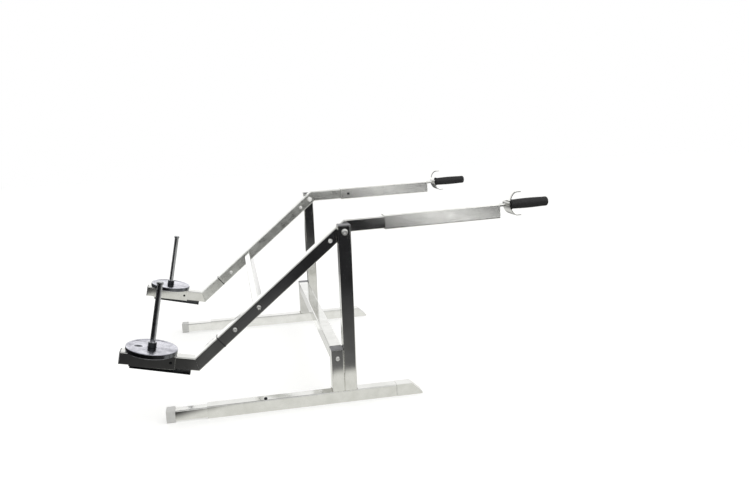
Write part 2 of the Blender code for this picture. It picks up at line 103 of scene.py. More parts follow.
# small helpers for materials
def toLinear(hexColour):
    channels = [int(hexColour[i:i + 2], 16) / 255 for i in (1, 3, 5)]
    return (*[c / 12.92 if c <= 0.04045 else ((c + 0.055) / 1.055) ** 2.4 for c in channels], 1)


def addNode(tree, kind, inputs=None, **settings):
    # one node: its settings by name, and for each input a value, a socket, or a node for its first output
    node = tree.nodes.new("ShaderNode" + kind)
    for name, value in settings.items():
        setattr(node, name, value)
    for name, value in (inputs or {}).items():
        if isinstance(value, bpy.types.Node):
            value = value.outputs[0]
        if isinstance(value, bpy.types.NodeSocket):
            tree.links.new(value, node.inputs[name])
        else:
            node.inputs[name].default_value = value
    return node


def between(span, before=0.0, after=1.0):
    # a map range's inputs: from one value to another as the pattern crosses a span
    return {"From Min": span[0], "From Max": span[1], "To Min": before, "To Max": after}


def newMaterial(name):
    material = bpy.data.materials.new(name)
    material.use_nodes = True
    tree = material.node_tree
    return material, tree, tree.nodes["Principled BSDF"]


def joinPattern(tree, shader, colour, rough, bump):
    tree.links.new(colour.outputs[2], shader.inputs["Base Color"])
    tree.links.new(rough.outputs[0], shader.inputs["Roughness"])
    tree.links.new(bump.outputs[0], shader.inputs["Normal"])


# metals
steelPattern = {"detail": 3.0, "lineContrast": 0.6, "cloudContrast": 0.55, "gloss": (0.7, 1.3),
                "bumpHeight": 0.0002}
tintSpan, glossSpan = (0.35, 0.65), (0.3, 0.7)    # the middle of a noise, where most of it lies


def makeSteel(name, look):
    # steel with a grain: fine lines along the piece, cloudy patches from handling and rinsing
    material, tree, shader = newMaterial(name)
    place = addNode(tree, "TexCoord").outputs["Object"]
    across, along = 1 / look["lineWidth"], 1 / look.get("lineLength", look["lineWidth"])
    detail = steelPattern["detail"]
    stretched = addNode(tree, "Mapping", {"Vector": place, "Scale": (across, across, along)})
    lines = addNode(tree, "TexNoise", {"Vector": stretched, "Scale": 1.0, "Detail": detail,
                                       "Roughness": steelPattern["lineContrast"]})
    clouds = addNode(tree, "TexNoise", {"Vector": place, "Scale": 1 / look["cloudSize"], "Detail": detail,
                                        "Roughness": steelPattern["cloudContrast"]})
    both = addNode(tree, "Math", {0: lines, 1: clouds}, operation="ADD")
    gloss = between(steelPattern["gloss"], look["smooth"], look["rough"])
    rough = addNode(tree, "MapRange", {"Value": both, **gloss})
    tint = addNode(tree, "MapRange", {"Value": clouds, **between(tintSpan)})
    colour = addNode(tree, "Mix", {0: tint, 6: toLinear(look["dark"]), 7: toLinear(look["light"])},
                     data_type="RGBA")
    bump = addNode(tree, "Bump", {"Height": lines, "Strength": look["bump"],
                                  "Distance": steelPattern["bumpHeight"]})
    joinPattern(tree, shader, colour, rough, bump)
    shader.inputs["Metallic"].default_value = look.get("metal", 1.0)
    return material


# chrome-plated steel tube, buffed along its length: a mirror with a faint drawn-out haze
polishedTube = makeSteel("chrome_plated_tube_buffed", {
    "light": "#dadad7", "dark": "#cfcfcb", "smooth": 0.06, "rough": 0.13,
    "lineWidth": 0.0012, "lineLength": 0.09, "cloudSize": 0.05, "bump": 0.05})
# the same tube, satin polished: the reflections run together into a paler grey
satinTube = makeSteel("chrome_plated_tube_satin", {
    "light": "#dfe0dc", "dark": "#c6c7c3", "smooth": 0.24, "rough": 0.36,
    "lineWidth": 0.0010, "lineLength": 0.06, "cloudSize": 0.04, "bump": 0.10})
# stainless sleeve, brushed with a belt: wide, pale reflections that never form a picture
brushedSleeve = makeSteel("stainless_sleeve_belt_brushed", {
    "light": "#eaeae6", "dark": "#dededa", "smooth": 0.16, "rough": 0.25,
    "lineWidth": 0.0009, "lineLength": 0.06, "cloudSize": 0.05, "bump": 0.10})
# mild steel, ground and oiled: darker, soft streaks
darkSteel = makeSteel("mild_steel_ground_and_oiled", {
    "light": "#434548", "dark": "#343638", "smooth": 0.22, "rough": 0.36,
    "lineWidth": 0.0010, "lineLength": 0.04, "cloudSize": 0.03, "bump": 0.15})
# steel pin, turned and polished: grey metal with a sharp streak of light down each side
pinSteel = makeSteel("mild_steel_pin_turned_and_polished", {
    "light": "#b6b7b9", "dark": "#9a9b9e", "smooth": 0.12, "rough": 0.22,
    "lineWidth": 0.0010, "cloudSize": 0.02, "bump": 0.04})
# rim and recess of the cast disc, polished: a darker base colour than the faced disc, painted shade for the
# recess and the rim's side; nearly black where they mirror the dark side of the room
paintedShadeRim = makeSteel("cast_iron_rim_painted_shade", {
    "light": "#64666a", "dark": "#54565a", "smooth": 0.12, "rough": 0.20,
    "lineWidth": 0.0010, "cloudSize": 0.02, "bump": 0.04})
# zinc-plated bolts: bright, milky metal
zincBolt = makeSteel("steel_bolt_zinc_plated", {
    "light": "#f4f4f2", "dark": "#e6e6e3", "smooth": 0.36, "rough": 0.50,
    "lineWidth": 0.0015, "cloudSize": 0.006, "bump": 0.05})
# zinc-flake coating on the arm bolts and the domed nuts: matt and nearly white, so it barely mirrors
flakeZinc = makeSteel("steel_bolt_zinc_flake_coated", {
    "light": "#fbfbf9", "dark": "#ededea", "smooth": 0.42, "rough": 0.56, "metal": 0.3,
    "lineWidth": 0.0012, "cloudSize": 0.006, "bump": 0.08})
# weld bead, ground and buffed: close to the tube, with a dull, uneven gloss
groundWeld = makeSteel("weld_seam_ground_flush", {
    "light": "#cfcfc9", "dark": "#bcbcb5", "smooth": 0.16, "rough": 0.32,
    "lineWidth": 0.0009, "cloudSize": 0.006, "bump": 0.15})
# weld bead, wire-brushed: dull grey with straw-coloured heat tint
weldMetal = makeSteel("weld_bead_wire_brushed", {
    "light": "#bcb9b0", "dark": "#9b9891", "smooth": 0.30, "rough": 0.46,
    "lineWidth": 0.0008, "cloudSize": 0.004, "bump": 0.2})
# sintered bronze of the pivot bush: warm, matt and a little porous
bushBronze = makeSteel("sintered_bronze_oiled", {
    "light": "#b08a55", "dark": "#94713f", "smooth": 0.35, "rough": 0.55,
    "lineWidth": 0.0006, "cloudSize": 0.004, "bump": 0.2})


# the tool's feed is 0.25 mm a turn; the rings are drawn 0.9 mm apart so that they show
turnedLook = {
    "light": "#cfcfd7", "dark": "#8e8e97", "smooth": 0.11, "rough": 0.21,
    "ringGap": 0.0009, "ringShare": 0.35, "wanderSize": 0.02, "wander": 0.0004,
    "grainSize": 0.0015, "patchSize": 0.03, "bump": 0.12, "bumpHeight": 0.0002, "fan": 0.8,
}


def makeTurnedIron():
    # cast iron disc, faced on a lathe: rings from the tool catch the light in two fans
    look = turnedLook
    material, tree, shader = newMaterial("cast_iron_faced_on_a_lathe")
    place = addNode(tree, "TexCoord").outputs["Object"]
    flat = addNode(tree, "Mapping", {"Vector": place, "Scale": (1, 1, 0)})
    radius = addNode(tree, "VectorMath", {0: flat}, operation="LENGTH")
    wander = addNode(tree, "TexNoise", {"Vector": place, "Scale": 1 / look["wanderSize"], "Detail": 2.0})
    wobble = addNode(tree, "Math", {0: wander, 1: look["wander"]}, operation="MULTIPLY")
    edge = addNode(tree, "Math", {0: radius.outputs["Value"], 1: wobble}, operation="ADD")
    turns = addNode(tree, "Math", {0: edge, 1: 2 * pi / look["ringGap"]}, operation="MULTIPLY")
    rings = addNode(tree, "Math", {0: turns}, operation="SINE")
    grain = addNode(tree, "TexNoise", {"Vector": place, "Scale": 1 / look["grainSize"], "Detail": 3.0})
    height = addNode(tree, "Math", {0: rings, 1: look["ringShare"], 2: grain}, operation="MULTIPLY_ADD")
    bump = addNode(tree, "Bump", {"Height": height, "Strength": look["bump"], "Distance": look["bumpHeight"]})
    patches = addNode(tree, "TexNoise", {"Vector": place, "Scale": 1 / look["patchSize"], "Detail": 3.0})
    tint = addNode(tree, "MapRange", {"Value": patches, **between(tintSpan)})
    colour = addNode(tree, "Mix", {0: tint, 6: toLinear(look["dark"]), 7: toLinear(look["light"])},
                     data_type="RGBA")
    gloss = between(glossSpan, look["smooth"], look["rough"])
    rough = addNode(tree, "MapRange", {"Value": patches, **gloss})
    tangent = addNode(tree, "Tangent", direction_type="RADIAL", axis="Z")
    tree.links.new(tangent.outputs[0], shader.inputs["Tangent"])
    joinPattern(tree, shader, colour, rough, bump)
    shader.inputs["Metallic"].default_value = 1.0
    shader.inputs["Anisotropic"].default_value = look["fan"]
    return material


mouldedBump = 0.0003    # how deep the grain of the mould is


def makeMoulded(name, look):
    # moulded plastic or rubber: a fine sparked grain, and a little dust in its colour
    material, tree, shader = newMaterial(name)
    place = addNode(tree, "TexCoord").outputs["Object"]
    grain = addNode(tree, "TexNoise", {"Vector": place, "Scale": 1 / look["grain"], "Detail": 2.0})
    dust = addNode(tree, "TexNoise", {"Vector": place, "Scale": 1 / look["dust"], "Detail": 4.0})
    colour = addNode(tree, "Mix", {0: dust, 6: toLinear(look["dark"]), 7: toLinear(look["light"])},
                     data_type="RGBA")
    gloss = between(glossSpan, look["smooth"], look["rough"])
    rough = addNode(tree, "MapRange", {"Value": dust, **gloss})
    bump = addNode(tree, "Bump", {"Height": grain, "Strength": look["bump"], "Distance": mouldedBump})
    joinPattern(tree, shader, colour, rough, bump)
    return material


turnedIron = makeTurnedIron()
# polyethylene, injection moulded, has a soft sheen: the extensions' feet are pale grey, the caps dark
polyethylene = {"smooth": 0.38, "rough": 0.52, "grain": 0.0007, "dust": 0.012, "bump": 0.2}
palePlastic = makeMoulded("polyethylene_foot_moulded", {
    "light": "#dededb", "dark": "#cbcbc8", **polyethylene})
capPlastic = makeMoulded("polyethylene_cap_moulded", {
    "light": "#78787b", "dark": "#646467", **polyethylene})
# EPDM rubber of the grips and joint rings, moulded: deep matt black, grey where it is rubbed
gripRubber = makeMoulded("epdm_grip_moulded", {
    "light": "#2a2a2b", "dark": "#18181a", "smooth": 0.58, "rough": 0.8,
    "grain": 0.0009, "dust": 0.01, "bump": 0.35})
# black oxide on the small screws: dark, faintly blue and oily
blackOxide = makeSteel("steel_screw_black_oxide", {
    "light": "#3a3b3f", "dark": "#2a2b2e", "smooth": 0.28, "rough": 0.42,
    "lineWidth": 0.0008, "cloudSize": 0.003, "bump": 0.1})
print("materials made")


# places read from the frame
joints = {joint["name"]: joint for joint in frame["joints"]}
pivot = Vector(joints["lever_swing"]["pos_m"])
seatGap = 0.0003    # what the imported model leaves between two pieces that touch


def spanOf(node):
    # a node's lowest and highest corner, and the middle between them
    low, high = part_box(node)
    return low, high, (low + high) / 2


def middle(node):
    return spanOf(node)[2]


def acrossOf(node):
    low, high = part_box(node)
    return high.x - low.x


def upright(way):
    # the direction square to one in the plane of Y and Z, on its upper side
    turned = Vector((0, -way.z, way.y))
    return turned if turned.z > 0 else -turned


def meet(point, way, other, otherWay):
    # where two lines in the plane of Y and Z cross
    gap = other - point
    cross = way.y * otherWay.z - way.z * otherWay.y
    return point + way * ((gap.y * otherWay.z - gap.z * otherWay.y) / cross)


mainTube = acrossOf("rail_left")
sleeveTube = acrossOf("carriage_left")
innerTube = acrossOf("rail_extension_left")
tubeLook = {"corner": 0.0035, "cornerSteps": 6, "edge": 0.0004, "mainWall": 0.0028, "innerWall": 0.0022}
rearWay = Vector(joints["handle_left_slide"]["axis"]).normalized()
frontWay = Vector(joints["carriage_left_slide"]["axis"]).normalized()
slopeWay = middle("tie_bolt_left") - pivot
slopeWay.x = 0
slopeWay.normalize()


def linesOf(side):
    # the lever's centre line on one side: its four ends and the butt joint
    x = middle("handle_sleeve_" + side).x
    hub = Vector((x, pivot.y, pivot.z))
    mitre = meet(hub, slopeWay, middle("handle_sleeve_" + side), rearWay)
    bend = meet(hub, slopeWay, middle("carriage_" + side), frontWay)
    half = mainTube / 2
    armLow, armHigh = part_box("lever_tube_" + side)
    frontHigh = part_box("front_tube_" + side)[1]
    rearY = armLow.y + half * abs(rearWay.z)
    jointY = armHigh.y - half * abs(slopeWay.z)
    frontY = frontHigh.y - half * abs(frontWay.z)
    return {
        "rear": mitre + rearWay * ((rearY - mitre.y) / rearWay.y),
        "mitre": mitre,
        "joint": hub + slopeWay * ((jointY - hub.y) / slopeWay.y),
        "bend": bend,
        "front": bend + frontWay * ((frontY - bend.y) / frontWay.y),
    }


# building pieces
smooth = {"sharpAngle": 34, "merge": 1e-7, "level": 1e-6}


def shade(data, sharpAngle=smooth["sharpAngle"]):
    data.shade_smooth()
    data.set_sharp_from_angle(angle=radians(sharpAngle))


def addPiece(name, mesh, finishes, body, replaced=(), matrix=None, sharp=smooth["sharpAngle"]):
    bmesh.ops.remove_doubles(mesh, verts=mesh.verts, dist=smooth["merge"])
    bmesh.ops.recalc_face_normals(mesh, faces=mesh.faces)
    data = meshData(name, mesh)
    shade(data, sharp)
    for finish in finishes if isinstance(finishes, tuple) else (finishes,):
        data.materials.append(finish)
    piece = newObject(name, data)
    # flat faces reflect as flat ones, up to the rounded corners beside them
    piece.modifiers.new("flat_faces", "WEIGHTED_NORMAL").keep_sharp = True
    if matrix is not None:
        piece.matrix_world = matrix
    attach(piece, body)
    if replaced:
        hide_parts(*replaced)
    return piece


def standing(origin, along, side=xAxis):
    # local Z runs along the piece, local X lies to its side
    along = along.normalized()
    side = (side - along * side.dot(along)).normalized()
    return axesAt(origin, side, along.cross(side), along)


def acrossAt(x, centre, way):
    # local Z runs along X, from one x through a node's middle
    return standing(Vector((x, centre.y, centre.z)), xAxis * way, yAxis)


def bridge(mesh, first, second):
    count = max(len(first), len(second))
    for i in range(count):
        face = []
        for ring, place in ((first, i), (first, (i + 1) % count), (second, (i + 1) % count), (second, i)):
            corner = ring[place % len(ring)]
            if corner not in face:
                face.append(corner)
        if len(face) > 2:
            mesh.faces.new(face)


def skin(points, closed=False, ends=False):
    # a mesh over rings of points: its last ring joined to its first, or its two ends filled
    mesh = bmesh.new()
    rings = [[mesh.verts.new(point) for point in ring] for ring in points]
    for first, second in zip(rings, rings[1:] + rings[:1] if closed else rings[1:]):
        bridge(mesh, first, second)
    if ends:
        mesh.faces.new(rings[0])
        mesh.faces.new(rings[-1])
    return mesh


def squareRing(size, corner):
    points = []
    reach = size / 2 - corner
    steps = tubeLook["cornerSteps"]
    for quarter, (u, v) in enumerate(((1, 1), (-1, 1), (-1, -1), (1, -1))):
        for step in range(steps + 1):
            angle = (quarter + step / steps) * pi / 2
            points.append((u * reach + corner * cos(angle), v * reach + corner * sin(angle)))
    return points


def squareTube(length, size, wall, cutStart=0.0, cutEnd=0.0):
    # along +Z, open at both ends, each end cut at a slope and its edges broken
    corner, edge = tubeLook["corner"], tubeLook["edge"]
    bore = size - 2 * wall
    boreCorner = max(corner - wall, corner / 4)
    layout = [
        (size, corner, cutStart, edge),
        (size, corner, cutEnd, length - edge),
        (size - 2 * edge, corner - edge, cutEnd, length),
        (bore + 2 * edge, boreCorner + edge, cutEnd, length),
        (bore, boreCorner, cutEnd, length - edge),
        (bore, boreCorner, cutStart, edge),
        (bore + 2 * edge, boreCorner + edge, cutStart, 0),
        (size - 2 * edge, corner - edge, cutStart, 0),
    ]
    rings = [[(u, v, z + cut * v) for u, v in squareRing(ringSize, ringCorner)]
             for ringSize, ringCorner, cut, z in layout]
    return skin(rings, closed=True)


def turned(profile, segments=64, bored=False):
    # (radius, height) pairs turned about Z; "hex" as a third value makes that ring a hexagon
    rings = []
    for point in profile:
        radius, height = point[:2]
        ring = []
        for step in range(segments if radius else 1):
            angle = 2 * pi * step / segments
            reach = radius
            if len(point) == 3:
                reach = radius * cos(pi / 6) / cos((angle + pi / 6) % (pi / 3) - pi / 6)
            ring.append((reach * cos(angle), reach * sin(angle), height))
        rings.append(ring)
    return skin(rings, closed=bored)


def arc(centre, radius, start, end, steps=5):
    # points of a profile's rounded edge, angles in degrees
    angles = [radians(start + (end - start) * i / steps) for i in range(steps + 1)]
    return [(centre[0] + radius * cos(a), centre[1] + radius * sin(a)) for a in angles]


def roundedBlock(outline, width, edge):
    # an outline in the plane of Y and Z with its width along X and its edges rounded
    mesh = skin([[(x, y, z) for y, z in outline] for x in (-width / 2, width / 2)], ends=True)
    bmesh.ops.recalc_face_normals(mesh, faces=mesh.faces)
    bmesh.ops.bevel(mesh, geom=mesh.edges[:], offset=edge, segments=3, affect="EDGES")
    return mesh


# beads stand proud of the tubes; seams and grooves were ground down to them
weld = {
    "ripple": 0.0016, "depth": 0.22, "sides": 12, "sharpAngle": 80,
    "filletRadius": 0.0021,
    "footRadius": 0.0018, "footDepth": 0.04,
    "grooveRadius": 0.0030, "grooveDepth": 0.03, "grooveTop": 0.004,
    "flushRadius": 0.0007, "flushInset": 0.0001,
    "below": 0.0002,
}


def weldBead(name, points, radius, body, finish=weldMetal, depth=weld["depth"], loop=False):
    # a bead along a line of points: its radius swells once for each ripple of the weld pool
    points = [Vector(p) for p in points]
    if loop:
        points.append(points[0])
    rings = []
    travelled = 0.0
    step = weld["ripple"] / 4
    for start, end in zip(points, points[1:]):
        run = end - start
        count = max(2, round(run.length / step))
        side = run.orthogonal().normalized()
        over = run.normalized().cross(side)
        for i in range(count + (end is points[-1] and not loop)):
            centre = start + run * (i / count)
            phase = (travelled + run.length * i / count) / weld["ripple"]
            swell = radius * (1 + depth * (abs(sin(pi * phase)) - 0.5))
            ring = []
            for k in range(weld["sides"]):
                angle = 2 * pi * k / weld["sides"]
                ring.append(centre + (side * cos(angle) + over * sin(angle)) * swell)
            rings.append(ring)
        travelled += run.length
    mesh = skin(rings, closed=loop, ends=not loop)
    return addPiece(name, mesh, finish, body, sharp=weld["sharpAngle"])


# tubes
def makeTube(name, start, end, size, wall, body, replaced, material=polishedTube, cutStart=0.0, cutEnd=0.0,
             side=xAxis):
    run = end - start
    mesh = squareTube(run.length, size, wall, cutStart, cutEnd)
    return addPiece(name, mesh, material, body, replaced, standing(start, run, side))


def straightTube(name, node, axis, size, wall, body, side=xAxis):
    # a tube along X, Y or Z that runs from end to end of its node
    low, high, centre = spanOf(node)
    start = centre + axis * axis.dot(low - centre)
    end = centre + axis * axis.dot(high - centre)
    return makeTube(name, start, end, size, wall, body, [node], side=side)


def sleeveTubeOf(node, way, body, material):
    # a sleeve along a sloped run of the lever, its length worked out from the node's box
    low, high, centre = spanOf(node)
    reach = ((high.y - low.y) / 2 - sleeveTube / 2 * abs(way.z)) / abs(way.y)
    return makeTube(node + "_tube", centre - way * reach, centre + way * reach, sleeveTube,
                    tubeLook["mainWall"], body, [node], material)


# the floor frame
endCap = {"thickness": 0.003, "dome": 0.0006, "edge": 0.0008, "shoulder": 0.55, "crown": 0.15}
rearFoot = {"slant": 0.035, "nose": 0.0057, "edge": 0.0009}
frontFoot = {"edge": 0.0012, "round": 0.3}


def capMesh(size):
    # a tube's end cap: slightly crowned, with rounded edges
    thickness, dome, edge = endCap["thickness"], endCap["dome"], endCap["edge"]
    foot = thickness - edge - dome
    layout = [(size, 0.0), (size, foot)]
    for angle in (30, 60, 90):
        inset = edge * (1 - cos(radians(angle)))
        layout.append((size - 2 * inset, foot + edge * sin(radians(angle))))
    layout += [(size * endCap["shoulder"], thickness - dome / 4), (size * endCap["crown"], thickness)]
    corner = tubeLook["corner"] / size
    rings = [[(u, v, z) for u, v in squareRing(ringSize, corner * ringSize)] for ringSize, z in layout]
    return skin(rings, ends=True)


def makeCap(node):
    centre = middle(node)
    base = Vector((centre.x, centre.y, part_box(node)[1].z - endCap["thickness"]))
    addPiece(node + "_moulding", capMesh(mainTube), capPlastic, "frame", [node],
             Matrix.Translation(base))


def makeRearFoot(side):
    node = "rear_foot_" + side
    low, _, centre = spanOf(node)
    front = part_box("rail_" + side)[0].y - seatGap
    outline = [(front, 0), (front, mainTube), (low.y + rearFoot["slant"], mainTube),
               (low.y, rearFoot["nose"]), (low.y, 0)]
    mesh = roundedBlock(outline, mainTube, rearFoot["edge"])
    addPiece(node + "_wedge", mesh, polishedTube, "frame", [node],
             Matrix.Translation((centre.x, 0, 0)))


def makeFrontFoot(side):
    node = "front_foot_" + side
    low, high, centre = spanOf(node)
    size, edge = mainTube, frontFoot["edge"]
    part = edge * frontFoot["round"]
    layout = [(size - 2 * edge, low.y), (size, low.y + edge), (size, high.y - edge),
              (size - 2 * part, high.y - part), (size - 2 * edge, high.y)]
    corner = tubeLook["corner"] / size
    rings = [[(centre.x + u, y, centre.z + v) for u, v in squareRing(ringSize, corner * ringSize)]
             for ringSize, y in layout]
    addPiece(node + "_moulding", skin(rings, ends=True), palePlastic, f"rail_extension_{side}",
             [node])


def frameWelds(side):
    # beads where the posts meet the rail, in front and behind, and flush seams on the two sides
    rail = middle("rail_" + side)
    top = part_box("rail_" + side)[1].z
    half, inset = mainTube / 2, tubeLook["corner"]
    upLow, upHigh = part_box("upright_" + side)
    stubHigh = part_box("stub_" + side)[1]
    for name, y in (("rear", upLow.y), ("front", stubHigh.y)):
        line = [(rail.x - half + inset, y, top), (rail.x + half - inset, y, top)]
        weldBead(f"post_weld_{name}_{side}", line, weld["filletRadius"], "frame")
    foot, groove = weld["footRadius"], weld["grooveRadius"]
    z = top - foot / 2
    for edge, sign in (("inner", 1), ("outer", -1)):
        outward = sign if side == "left" else -sign
        x = rail.x + outward * (half - foot - weld["below"])
        for name, start, end in (("upright", upLow.y, upHigh.y), ("stub", upHigh.y, stubHigh.y)):
            line = [(x, start + inset, z), (x, end - inset, z)]
            weldBead(f"{name}_seam_{edge}_{side}", line, foot, "frame", groundWeld, weld["footDepth"])
        x = rail.x + outward * (half - groove - weld["below"])
        line = [(x, upHigh.y, top), (x, upHigh.y, stubHigh.z - weld["grooveTop"])]
        weldBead(f"stub_side_seam_{edge}_{side}", line, groove, "frame", groundWeld, weld["grooveDepth"])


def makeFrame():
    wall, innerWall = tubeLook["mainWall"], tubeLook["innerWall"]
    for side in ("left", "right"):
        rail, extension = f"rail_{side}", f"rail_extension_{side}"
        straightTube(rail + "_tube", rail, yAxis, mainTube, wall, "frame")
        straightTube(extension + "_tube", extension, yAxis, innerTube, innerWall, extension)
        makeRearFoot(side)
        makeFrontFoot(side)
        for post in (f"upright_{side}", f"stub_{side}"):
            straightTube(post + "_tube", post, zAxis, mainTube, wall, "frame")
        makeCap(f"upright_cap_{side}")
        makeCap(f"stub_cap_{side}")
        frameWelds(side)
    straightTube("cross_tube_bar", "cross_tube", xAxis, mainTube, wall, "frame", side=yAxis)
    print("floor frame made")


# the lever
armFinish = {"left": polishedTube, "right": satinTube}
jointRing = {"length": 0.0036, "proud": 0.0004, "thickness": 0.0012}
tieBar = {"size": 0.0254, "wall": 0.0020}


def makeArm(side):
    spots = linesOf(side)
    wall = tubeLook["mainWall"]
    finish = armFinish[side]
    bendUp = tan(slopeWay.angle(frontWay) / 2)
    mitreDown = tan((-rearWay).angle(slopeWay) / 2)
    # each run is cut at half the turn, so that two of them meet in one plane
    makeTube(f"rear_run_{side}", spots["rear"], spots["mitre"], mainTube, wall, "lever",
             [f"lever_tube_{side}"], finish, cutEnd=-mitreDown)
    makeTube(f"slope_run_{side}", spots["mitre"], spots["joint"], mainTube, wall, "lever", [], finish,
             cutStart=mitreDown)
    makeTube(f"slope_end_{side}", spots["joint"] + slopeWay * seatGap, spots["bend"], mainTube, wall, "lever",
             [f"front_tube_{side}"], finish, cutEnd=bendUp)
    makeTube(f"front_run_{side}", spots["bend"], spots["front"], mainTube, wall, "lever", [],
             cutStart=-bendUp)
    # a thin black rubber ring closes the butt joint
    ring = squareTube(jointRing["length"], mainTube + 2 * jointRing["proud"], jointRing["thickness"])
    addPiece(f"joint_ring_{side}", ring, gripRubber, "lever",
             matrix=standing(spots["joint"] - slopeWay * (jointRing["length"] / 2), slopeWay))
    plug = standing(spots["front"] + frontWay * seatGap, frontWay)
    addPiece(f"front_plug_{side}_moulding", capMesh(mainTube), capPlastic, "lever",
             [f"front_plug_{side}"], plug)
    # a ground seam round the tube in each mitre's plane
    inside = mainTube - 2 * (weld["flushRadius"] + weld["flushInset"])
    for name, first, second in (("mitre", rearWay, slopeWay), ("bend", -slopeWay, frontWay)):
        plane = (first + second).normalized()
        stretch = 1 / abs(plane.dot(upright(second)))
        ring = [spots[name] + xAxis * u + plane * (v * stretch)
                for u, v in squareRing(inside, tubeLook["corner"])]
        weldBead(f"{name}_seam_{side}", ring, weld["flushRadius"], "lever", groundWeld, loop=True)


# carriages: sleeve, skid, pin and plate
skid = {"start": -0.11305, "end": 0.06295, "thin": 0.0042, "thick": 0.0095, "edge": 0.0012}
pin = {
    "height": 0.2139, "radius": 0.0079,
    "hubRadius": 0.0125, "hubHeight": 0.0295, "hubEdge": 0.002, "neck": 0.001,
    "capRadius": 0.0100, "capHeight": 0.0085, "capEdge": 0.0028, "capLip": 0.0006,
}
plate = {
    "radius": 0.075, "thickness": 0.015, "edge": 0.0026, "bore": 0.0131, "boreEdge": 0.0008,
    "rim": 0.008, "rimHeight": 0.0014, "rimBevel": 0.0005, "rimDrop": 0.0004,
    "dimplePlace": 0.038, "dimpleLength": 0.028, "dimpleWidth": 0.017, "dimpleDepth": 0.0030,
    "dimpleLip": 1.15, "dimpleShadedShare": 0.35, "shadedTilt": 0.7, "shadedRimFrom": 0.001,
    "rings": 44, "sides": 160,
}
drillDepth, drillSides = 0.006, 40


def drillHole(piece, centre, radius, way):
    # a round hole cut through a piece's wall
    depth = drillDepth
    mesh = turned([(0, -depth), (radius, -depth), (radius, depth), (0, depth)], drillSides)
    bmesh.ops.recalc_face_normals(mesh, faces=mesh.faces)
    cutter = newObject("drill", meshData("drill", mesh))
    cutter.matrix_world = standing(centre, way, yAxis)
    cut = piece.modifiers.new("hole", "BOOLEAN")
    cut.operation = "DIFFERENCE"
    cut.solver = "EXACT"
    cut.object = cutter
    bpy.context.view_layer.update()
    seen = piece.evaluated_get(bpy.context.evaluated_depsgraph_get())
    drilled = bpy.data.meshes.new_from_object(seen)
    piece.modifiers.remove(cut)
    piece.data = drilled
    bpy.data.objects.remove(cutter, do_unlink=True)
    shade(drilled)


def makeCarriage(side):
    body = f"carriage_{side}"
    up = upright(frontWay)
    sleeve = sleeveTubeOf(body, frontWay, body, polishedTube)
    screwLow, screwHigh, screwPlace = spanOf(f"carriage_screw_{side}")
    drillHole(sleeve, screwPlace, (screwHigh.z - screwLow.z) / 2 + seatGap, xAxis)
    makeSetScrew(f"carriage_screw_{side}", body)

    top = -sleeveTube / 2 - seatGap
    outline = [(skid["start"], top), (skid["end"], top), (skid["end"], top - skid["thin"]),
               (skid["start"], top - skid["thick"])]
    bar = roundedBlock(outline, sleeveTube, skid["edge"])
    addPiece(f"skid_{side}_bar", bar, darkSteel, body, [f"skid_{side}"],
             axesAt(middle(body), xAxis, frontWay, up))

    # the pin's foot is found from the plate, which is round it
    foot = middle(f"weight_plate_{side}") - up * (plate["thickness"] / 2 + seatGap)
    seat = axesAt(foot, xAxis, frontWay, up)
    makePin(side, body, seat)
    makePlate(side, seat @ Matrix.Translation((0, 0, seatGap)))


def makePin(side, body, seat):
    hub, hubHeight, hubEdge = pin["hubRadius"], pin["hubHeight"], pin["hubEdge"]
    cap, capEdge, lip = pin["capRadius"], pin["capEdge"], pin["capLip"]
    rod, height = pin["radius"], pin["height"]
    capFoot = height - pin["capHeight"]
    profile = [(0, 0), (hub, 0)]
    profile += arc((hub - hubEdge, hubHeight - hubEdge), hubEdge, 0, 90)
    profile += [(rod + pin["neck"], hubHeight), (rod, hubHeight + pin["neck"])]
    profile += [(rod, capFoot), (cap - lip, capFoot), (cap, capFoot + lip)]
    profile += arc((cap - capEdge, height - capEdge), capEdge, 0, 90, 8)
    profile += [(0, height)]
    mesh = turned(profile)
    for face in mesh.faces:
        if face.calc_center_median().z < hubHeight:
            face.material_index = 1
    addPiece(f"weight_pin_{side}_turned", mesh, (pinSteel, darkSteel), body,
             [f"weight_pin_{side}"], seat)


def makePlate(side, seat):
    radius, bore, edge = plate["radius"], plate["bore"], plate["edge"]
    thick, step, boreEdge = plate["thickness"], plate["rimHeight"], plate["boreEdge"]
    level = thick - step
    rim = radius - plate["rim"]
    profile = [(bore + boreEdge, 0)]
    profile += arc((radius - edge, edge), edge, -90, 0)
    profile += arc((radius - edge, thick - edge), edge, 0, 90)
    profile += [(rim + plate["rimBevel"], thick), (rim, thick - plate["rimDrop"]), (rim - step, level)]
    # the face is set with rings fine enough to take the thumb recess
    rings = plate["rings"]
    inner = bore + step
    for i in range(1, rings + 1):
        profile.append((rim - step + (inner - rim + step) * i / rings, level))
    profile += [(bore, level - step), (bore, boreEdge)]
    mesh = turned(profile, plate["sides"], bored=True)
    for vert in mesh.verts:
        if abs(vert.co.z - level) < smooth["level"]:
            u = vert.co.x / (plate["dimpleWidth"] / 2)
            v = (vert.co.y - plate["dimplePlace"]) / (plate["dimpleLength"] / 2)
            # a round-bottomed trough with a soft lip
            inside = min(1.0, max(0.0, plate["dimpleLip"] - (u * u + v * v)))
            vert.co.z -= plate["dimpleDepth"] * inside * inside * (3 - 2 * inside)
    mesh.normal_update()
    shadedDepth = plate["dimpleDepth"] * plate["dimpleShadedShare"]
    # painted shade: the deeper faces of the recess and the steep faces of the rim take the darker rim
    # material
    for face in mesh.faces:
        centre = face.calc_center_median()
        reach = centre.xy.length
        recessed = level - centre.z > shadedDepth and inner < reach < rim - step
        steep = abs(face.normal.z) < plate["shadedTilt"]
        if recessed or steep and reach > rim + plate["shadedRimFrom"]:
            face.material_index = 1
    addPiece(f"weight_plate_{side}_disc", mesh, (turnedIron, paintedShadeRim), f"plate_{side}",
             [f"weight_plate_{side}"], seat)


